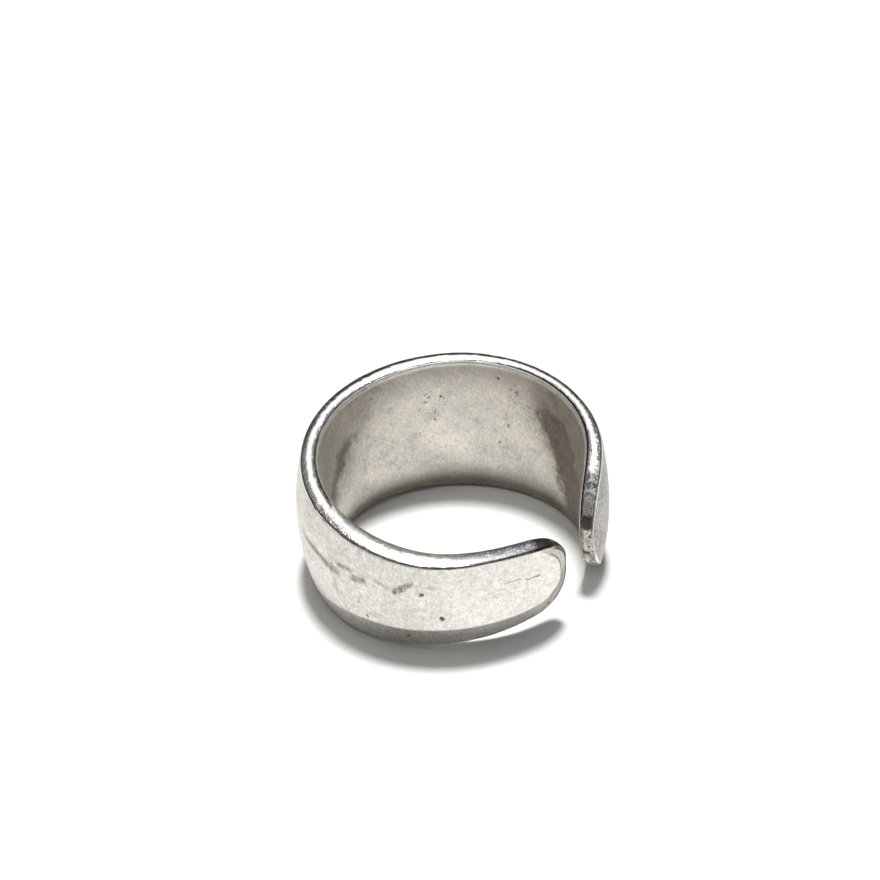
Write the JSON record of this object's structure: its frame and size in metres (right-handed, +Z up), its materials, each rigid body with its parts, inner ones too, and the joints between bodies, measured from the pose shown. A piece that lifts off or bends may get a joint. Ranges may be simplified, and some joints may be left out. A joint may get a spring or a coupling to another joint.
{
  "type": "spoon ring",
  "caption": "Open finger ring bent from a tapering spoon handle: a domed metal band with rounded tips that don't meet, lying on its side.",
  "frame": {"origin": "on the surface that the ring lies on, under the middle of its footprint", "axes": "+Z up from the surface, 4.6 degrees from the axis of the finger hole; +Y to the back, where the band is widest; +X to the right, where the wide tip is"},
  "size_m": [0.0222, 0.0224, 0.0119],
  "materials": {
    "silver": "worn silver, satin on the outer face, polished along the edges, dull and stained inside"
  },
  "bodies": {
    "root": {"band": "silver"}
  },
  "joints": []
}
